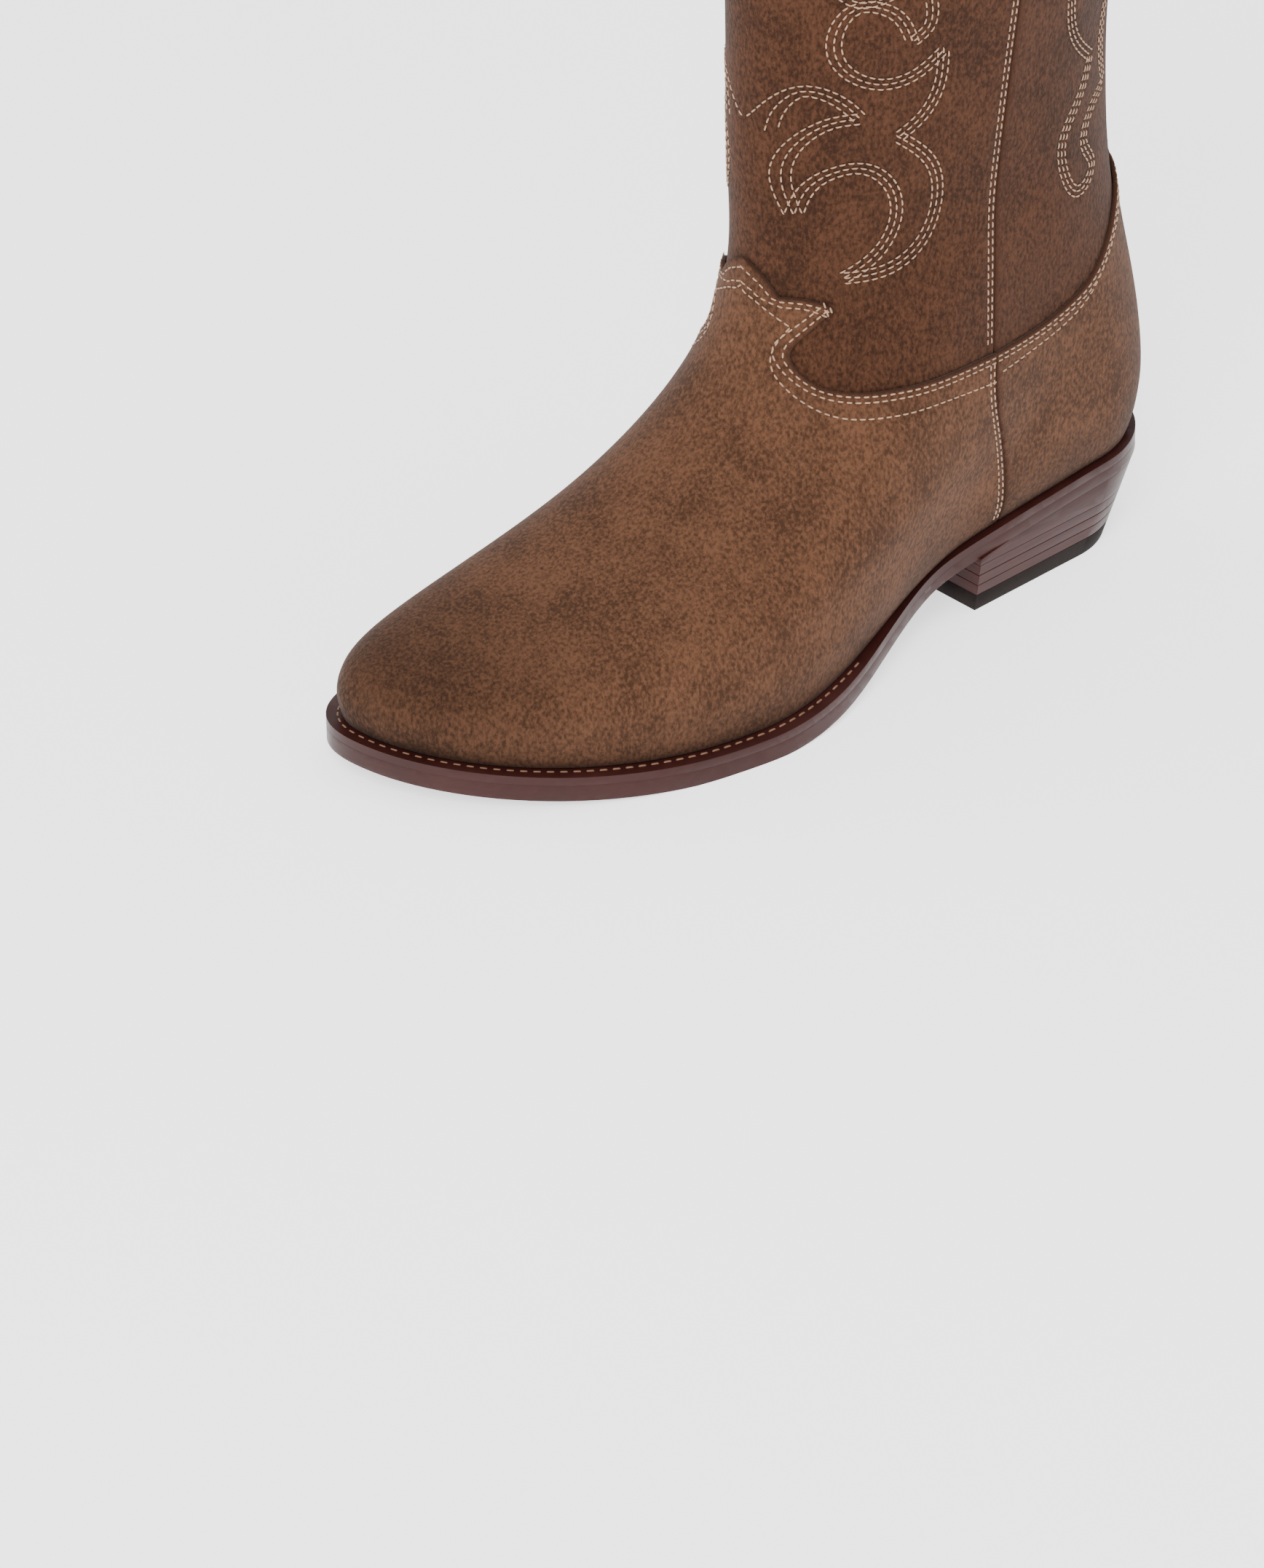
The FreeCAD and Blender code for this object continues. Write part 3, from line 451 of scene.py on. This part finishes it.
def noiseGroup(name, coarse, fine, stretch):
    group = bpy.data.node_groups.new(name, "ShaderNodeTree")
    group.interface.new_socket("Vector", in_out="INPUT", socket_type="NodeSocketVector")
    group.interface.new_socket("Patches", in_out="OUTPUT", socket_type="NodeSocketFloat")
    group.interface.new_socket("Fibres", in_out="OUTPUT", socket_type="NodeSocketFloat")
    start = group.nodes.new("NodeGroupInput")
    end = group.nodes.new("NodeGroupOutput")
    turn = group.nodes.new("ShaderNodeMapping")
    turn.inputs["Scale"].default_value = stretch
    group.links.new(start.outputs[0], turn.inputs[0])
    for scale, detail, socket, source in ((coarse, 5, 0, start.outputs[0]),
                                          (fine, 3, 1, turn.outputs[0])):
        noise = group.nodes.new("ShaderNodeTexNoise")
        noise.inputs["Scale"].default_value = scale
        noise.inputs["Detail"].default_value = detail
        noise.inputs["Roughness"].default_value = noiseRoughness
        group.links.new(source, noise.inputs["Vector"])
        group.links.new(noise.outputs["Fac"], end.inputs[socket])
    return group


suedeNap = noiseGroup("suedeNap", 46, 900, (1, 1, 0.6))
leatherGrain = noiseGroup("leatherGrain", 55, 900, (1, 1, 1))
stackLayers = noiseGroup("stackLayers", 45, 90, (1, 1, 14))


# the Mix node's sockets go by number, because their names repeat
floatA, floatB, colourA, colourB, colourMixed = 2, 3, 6, 7, 2
sheenRoughness = 0.45
coatRoughness = 0.22


def finish(name, colour, group, spread=0.35, rough=0.9, roughSpread=0.08, bump=0.3, depth=0.00015,
           sheen=0.0, coat=0.0, metal=0.0, specular=0.5, wearColour=None, fibreShare=0.35,
           contrast=0.18):
    mat = bpy.data.materials.new(name)
    mat.use_nodes = True
    nodes, links = mat.node_tree.nodes, mat.node_tree.links
    shader = nodes["Principled BSDF"]
    shader.inputs["Sheen Weight"].default_value = sheen
    shader.inputs["Sheen Roughness"].default_value = sheenRoughness
    shader.inputs["Coat Weight"].default_value = coat
    shader.inputs["Coat Roughness"].default_value = coatRoughness
    shader.inputs["Metallic"].default_value = metal
    shader.inputs["Specular IOR Level"].default_value = specular
    where = nodes.new("ShaderNodeTexCoord")
    effect = nodes.new("ShaderNodeGroup")
    effect.node_tree = group
    links.new(where.outputs["Object"], effect.inputs[0])
    both = nodes.new("ShaderNodeMix")
    both.inputs[0].default_value = fibreShare
    links.new(effect.outputs[0], both.inputs[floatA])
    links.new(effect.outputs[1], both.inputs[floatB])
    ramp = nodes.new("ShaderNodeValToRGB")
    ramp.color_ramp.elements[0].position = 0.5 - contrast
    ramp.color_ramp.elements[1].position = 0.5 + contrast
    ramp.color_ramp.elements[0].color = tuple(c * (1 - spread) for c in colour[:3]) + (1,)
    ramp.color_ramp.elements[1].color = tuple(min(1, c * (1 + spread)) for c in colour[:3]) + (1,)
    links.new(both.outputs[0], ramp.inputs[0])
    result = ramp.outputs[0]
    if wearColour:
        wear = nodes.new("ShaderNodeAttribute")
        wear.attribute_name = "edgeWear"
        mix = nodes.new("ShaderNodeMix")
        mix.data_type = "RGBA"
        mix.inputs[colourB].default_value = wearColour
        links.new(wear.outputs["Fac"], mix.inputs[0])
        links.new(result, mix.inputs[colourA])
        shade = nodes.new("ShaderNodeAttribute")
        shade.attribute_name = "toeShade"
        darker = nodes.new("ShaderNodeMix")
        darker.data_type = "RGBA"
        darker.blend_type = "MULTIPLY"
        darker.inputs[colourB].default_value = (upper["toeShade"],) * 3 + (1,)
        links.new(shade.outputs["Fac"], darker.inputs[0])
        links.new(mix.outputs[colourMixed], darker.inputs[colourA])
        result = darker.outputs[colourMixed]
    links.new(result, shader.inputs["Base Color"])
    span = nodes.new("ShaderNodeMapRange")
    span.inputs[3].default_value = rough - roughSpread
    span.inputs[4].default_value = min(1, rough + roughSpread)
    links.new(effect.outputs[0], span.inputs[0])
    links.new(span.outputs[0], shader.inputs["Roughness"])
    relief = nodes.new("ShaderNodeBump")
    relief.inputs["Strength"].default_value = bump
    relief.inputs["Distance"].default_value = depth
    links.new(effect.outputs[1], relief.inputs["Height"])
    links.new(relief.outputs[0], shader.inputs["Normal"])
    return mat


rawEdge = (0.045, 0.018, 0.010, 1)
nap = dict(group=suedeNap, spread=0.44, specular=0.08, sheen=0.06, bump=1.0, fibreShare=0.68,
           contrast=0.10, depth=upper["napDepth"], wearColour=rawEdge)
vampSuede = finish("vampSuede", upper["vampColour"], **nap)
shaftSuede = finish("shaftSuede", upper["shaftColour"], **nap)
counterSuede = finish("counterSuede", upper["counterColour"], **nap)
strapSuede = finish("strapSuede", upper["shaftColour"], suedeNap, specular=0.08, bump=0.9,
                    contrast=0.11)
thread = finish("thread", stitching["colour"], leatherGrain, spread=0.2, rough=0.6)
weltThread = finish("weltThread", (0.20, 0.10, 0.055, 1), leatherGrain, spread=0.25, rough=0.6)
edgeLeather = finish("edgeLeather", soleLook["edgeColour"], stackLayers, spread=0.2, rough=0.42, coat=0.05,
                     specular=0.18, bump=0.12)
heelStack = finish("heelStack", soleLook["heelColour"], stackLayers, rough=0.42, coat=0.05, specular=0.16,
                   bump=0.15, fibreShare=0.7)
liftRubber = finish("liftRubber", (0.012, 0.008, 0.007, 1), leatherGrain, rough=0.8, specular=0.15)
liningLeather = finish("liningLeather", (0.50, 0.33, 0.20, 1), leatherGrain, spread=0.15, rough=0.62)
boardLeather = finish("boardLeather", (0.56, 0.40, 0.25, 1), leatherGrain, spread=0.18, rough=0.75)
bindingLeather = finish("bindingLeather", (0.022, 0.008, 0.004, 1), leatherGrain, rough=0.6)
corkPaste = finish("corkPaste", (0.34, 0.20, 0.10, 1), leatherGrain, spread=0.4, rough=0.95)
pegWood = finish("pegWood", (0.55, 0.38, 0.20, 1), stackLayers, spread=0.2, rough=0.7)
steel = finish("steel", (0.48, 0.47, 0.46, 1), leatherGrain, spread=0.1, rough=0.35, metal=1.0, bump=0.05)
print("materials ready")

# the stitched rows, as (y, z) seen from the outer side
frontScrolls = [
    [(-89, 139), (-77, 140.5), (-66, 148), (-61, 160), (-63, 175), (-74, 187)],
    [(-74, 187), (-66, 194), (-61.5, 204), (-61, 215)],
    [(-61, 215), (-70, 208), (-80, 206.5), (-89, 212), (-92, 223), (-86, 234), (-77, 231), (-71, 220)],
    [(-89, 139), (-79, 147), (-74, 158), (-76, 170), (-85, 177.5), (-95, 174), (-100, 161)],
    [(-100, 161), (-102.5, 173), (-99, 188), (-92, 194), (-85, 195)],
    [(-85, 195), (-91, 202), (-99, 205), (-103, 200), (-105, 190)],
    [(-71, 220), (-66.5, 224), (-66, 235)]]
backScrolls = [
    [(-8, 235), (-8.5, 218), (-5, 201), (7, 188)],
    [(7, 188), (2, 178), (-8, 166), (-7, 151), (1, 143), (9, 148), (4, 158), (9, 168), (20, 172)],
    [(20, 172), (16, 188), (19, 203), (26, 218), (28, 235)]]


def rowsOf(lines, gaps):
    rows = []
    for line in lines:
        for gap in gaps:
            row = onLast(shifted(line, gap))
            if len(row) > 3:
                rows.append(row)
    return rows


def scrollRows(scrolls):
    # each scroll as three rows, and again upside down and a little shorter above mid shaft
    gap, squeeze, middle = (stitching[k] for k in ("rowGap", "upperSqueeze", "mirrorHeight"))
    lines = []
    for points in scrolls:
        line = smoothLine(points)
        flipped = line * [1, -squeeze] + [0, middle * (1 + squeeze)]
        lines += [line, flipped]
    return rowsOf(lines, (-gap, 0, gap))


edgeRows = stitching["edgeRows"]
vampDeepRow = smoothLine([(-40, 91), (-67, 93.5), (-89, 94.5), (-102, 98), (-108, 107), (-105, 118),
                          (-102, 123)])
vampPeakRow = smoothLine([(-102, 123), (-105, 127), (-108, 139)])
counterDeepRow = smoothLine([(-38, 93.5), (-17, 96.5), (0, 102), (13, 113), (36, 128), (60, 133)])
seamBase = float(featherHeight(seamFootY))
sideLow = seamBase + 2
vampRows = rowsOf([vampTop[:-3]], edgeRows) + rowsOf([vampDeepRow, vampPeakRow], (0,))
vampRows += rowsOf([seamLine(sideLow, 99)], edgeRows)
counterRows = rowsOf([counterTop], [-g for g in edgeRows]) + rowsOf([counterDeepRow], (0,))
frontRows = scrollRows(frontScrolls) + rowsOf([seamLine(104, 336)], edgeRows)
backRows = scrollRows(backScrolls)

# outlines of one side of each piece, from ridge to ridge
seamLow = onLast(seamLine(seamBase + 0.5, 101))
seamHigh = onLast(seamLine(91, collarAtSeam))
foot = np.linspace(0, 1, 220)
footFront = foot[foot < seamLow[0, 0]]
footBack = foot[foot > seamLow[0, 0]]
vampFoot = np.stack([footFront, np.zeros(len(footFront))], -1)
heelFoot = np.stack([footBack[::-1], np.zeros(len(footBack))], -1)
vampHalf = np.vstack([vampFoot, seamLow, onLast(vampTop)])
counterHalf = np.vstack([heelFoot, seamLow, onLast(counterTop)])
frontHalf = np.vstack([onLast(panelFoot)[::-1], seamHigh, onLast(collarFront)])
backHalf = np.vstack([onLast(counterFoot)[::-1], seamHigh, onLast(collarBack)])
layer = upper["layer"]
leathers = (
    ("vamp_suede", "vamp_stitches", vampHalf, 0, vampRows, 0.0, vampSuede),
    ("heel_counter_cover_suede", "counter_stitches", counterHalf, 1, counterRows, 0.0, counterSuede),
    ("front_shaft_panel_suede", "front_shaft_stitches", frontHalf, 0, frontRows, layer, shaftSuede),
    ("back_shaft_panel_suede", "back_shaft_stitches", backHalf, 1, backRows, layer, shaftSuede),
)
for name, _, half, centre, rows, depth, material in leathers:
    half[[0, -1], 0] = centre
    leatherPiece(name, half, centre, rows, depth, material)
for _, name, _, centre, rows, depth, _ in leathers:
    stitchSet(name, rows, centre, depth)

# stitches on the welt, half way between the upper and the sole's edge
around = np.linspace(-soleLook["weltStitchReach"], soleLook["weltStitchReach"], 1400)
path = lastPoint(around, 0.0)
alongWelt = np.gradient(path, axis=0)
alongWelt /= np.linalg.norm(alongWelt, axis=1, keepdims=True)
outwards = np.stack([alongWelt[:, 1], -alongWelt[:, 0], np.zeros(len(path))], -1)
outwards *= np.sign((outwards * (path - soleLook["middle"])).sum(1))[:, None]
path = path + outwards * soleLook["weltStitchOut"] + [0, 0, soleLook["weltStitchLift"]]
shown = path[:, 1] < soleLook["weltStitchEnd"]
path, alongWelt = path[shown], alongWelt[shown]
run = np.r_[0, np.cumsum(np.linalg.norm(np.diff(path, axis=0), axis=1))]
at = np.arange(soleLook["weltStitchFirst"], run[-1], soleLook["weltStitchPitch"])
centres = np.stack([np.interp(at, run, path[:, k]) for k in range(3)], -1)
direction = np.stack([np.interp(at, run, alongWelt[:, k]) for k in range(3)], -1)
direction /= np.linalg.norm(direction, axis=1, keepdims=True)
upright = np.tile([0.0, 0.0, 1.0], (len(at), 1))
upright -= direction * (upright * direction).sum(1)[:, None]
upright /= np.linalg.norm(upright, axis=1, keepdims=True)
capsules("welt_stitches", centres, direction, upright, soleLook["weltStitchLength"],
         soleLook["weltStitchRadius"], weltThread)


def softened(node, material, bevel):
    # a merged copy of the CAD node with its sharp edges rounded
    mergeWithin, sharpAngle, bevelAngle = 2e-6, 38, 50
    source = frame["nodes"][node]
    work = bmesh.new()
    work.from_mesh(source.data)
    bmesh.ops.remove_doubles(work, verts=work.verts, dist=mergeWithin)
    mesh = bpy.data.meshes.new(node + "_finished")
    work.to_mesh(mesh)
    work.free()
    mesh.polygons.foreach_set("use_smooth", [True] * len(mesh.polygons))
    mesh.set_sharp_from_angle(angle=math.radians(sharpAngle))
    mesh.materials.append(material)
    piece = bpy.data.objects.new(node + "_finished", mesh)
    bpy.context.scene.collection.objects.link(piece)
    rounding = piece.modifiers.new("rounding", "BEVEL")
    rounding.width = bevel * mm
    rounding.segments = 2
    rounding.limit_method = "ANGLE"
    rounding.angle_limit = math.radians(bevelAngle)
    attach(piece, "root")
    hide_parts(node)


for node, material, slotName, bevel in (
        ("welt", edgeLeather, "sole_leather", 0.5),
        ("heel_rand", edgeLeather, "sole_leather", 0.4),
        ("outsole", edgeLeather, "sole_leather", 0.6),
        ("collar_binding", bindingLeather, "collar_leather", 0.2),
        ("pull_strap_lateral", strapSuede, "brown_suede", 0.4),
        ("pull_strap_medial", strapSuede, "brown_suede", 0.4),
        ("top_lift", liftRubber, "heel_rubber", 0.4),
        ("heel_lift_1", heelStack, "stacked_heel", 0.25),
        ("heel_lift_2", heelStack, "stacked_heel", 0.25),
        ("heel_lift_3", heelStack, "stacked_heel", 0.25),
        ("heel_wedge", heelStack, "stacked_heel", 0.25)):
    softened(node, material, bevel)

bySlot = {
    "lining_leather": liningLeather, "stiffener_board": boardLeather, "insole_leather": boardLeather,
    "cork": corkPaste, "steel": steel, "peg_wood": pegWood, "sole_leather": edgeLeather,
    "stacked_heel": heelStack, "heel_rubber": liftRubber, "brown_suede": strapSuede,
    "collar_leather": bindingLeather,
}
for entry in frame["record"]["subparts"]:
    node = frame["nodes"][entry["node"]]
    node.data.materials.clear()
    node.data.materials.append(bySlot[entry["material_slot"]])
print("carried-over nodes finished")

# floor, light and camera
studio = {
    "floorColour": (0.93, 0.93, 0.93, 1), "floorHalf": 6, "floorGlow": 1.4, "worldLight": 0.8,
    "lamps": (("key", 52, 1.2, (0.9, -1.5, 1.7)), ("fill", 12, 1.6, (-1.6, -0.7, 1.1)),
              ("top", 18, 1.4, (0.3, 0.8, 2.0))),
    "lampTarget": (0, -0.08, 0.12),
    "azimuth": 47.29, "elevation": 33.35, "roll": -0.741, "distance": 2.460,
    "target": (-0.0002, -0.1650, -0.0230), "lens": 176.67, "sensor": 36, "clipEnd": 20,
}
floorMesh = bpy.data.meshes.new("floor")
h = studio["floorHalf"]
floorMesh.from_pydata([(-h, -h, 0), (h, -h, 0), (h, h, 0), (-h, h, 0)], [], [(0, 1, 2, 3)])
floor = bpy.data.objects.new("floor", floorMesh)
floorFinish = bpy.data.materials.new("floorFinish")
floorFinish.use_nodes = True
floorShader = floorFinish.node_tree.nodes["Principled BSDF"]
floorShader.inputs["Base Color"].default_value = studio["floorColour"]
floorShader.inputs["Roughness"].default_value = 0.9
floorShader.inputs["Emission Color"].default_value = (1, 1, 1, 1)
floorShader.inputs["Emission Strength"].default_value = studio["floorGlow"]
floorMesh.materials.append(floorFinish)
bpy.context.scene.collection.objects.link(floor)

for name, power, side, spot in studio["lamps"]:
    lamp = bpy.data.lights.new(name, "AREA")
    lamp.energy = power
    lamp.size = side
    lampObject = bpy.data.objects.new(name, lamp)
    aim = Vector(studio["lampTarget"]) - Vector(spot)
    facing = aim.to_track_quat("-Z", "Y").to_matrix().to_4x4()
    lampObject.matrix_world = Matrix.Translation(spot) @ facing
    bpy.context.scene.collection.objects.link(lampObject)

world = bpy.data.worlds.new("studio")
world.use_nodes = True
world.node_tree.nodes["Background"].inputs["Color"].default_value = (1, 1, 1, 1)
world.node_tree.nodes["Background"].inputs["Strength"].default_value = studio["worldLight"]
bpy.context.scene.world = world

azimuth, elevation, roll = (math.radians(studio[k]) for k in ("azimuth", "elevation", "roll"))
back = Vector((math.sin(azimuth) * math.cos(elevation), -math.cos(azimuth) * math.cos(elevation),
               math.sin(elevation)))
right = Vector((math.cos(azimuth), math.sin(azimuth), 0))
high = back.cross(right)
rolledRight = right * math.cos(roll) + high * math.sin(roll)
rolledUp = high * math.cos(roll) - right * math.sin(roll)
lens = bpy.data.cameras.new("camera")
lens.lens = studio["lens"]
lens.sensor_width = studio["sensor"]
lens.clip_end = studio["clipEnd"]
camera = bpy.data.objects.new("camera", lens)
turnMatrix = Matrix((rolledRight, rolledUp, back)).transposed().to_4x4()
standing = Vector(studio["target"]) + back * studio["distance"]
camera.matrix_world = Matrix.Translation(standing) @ turnMatrix
bpy.context.scene.collection.objects.link(camera)
bpy.context.scene.camera = camera
print("studio ready")
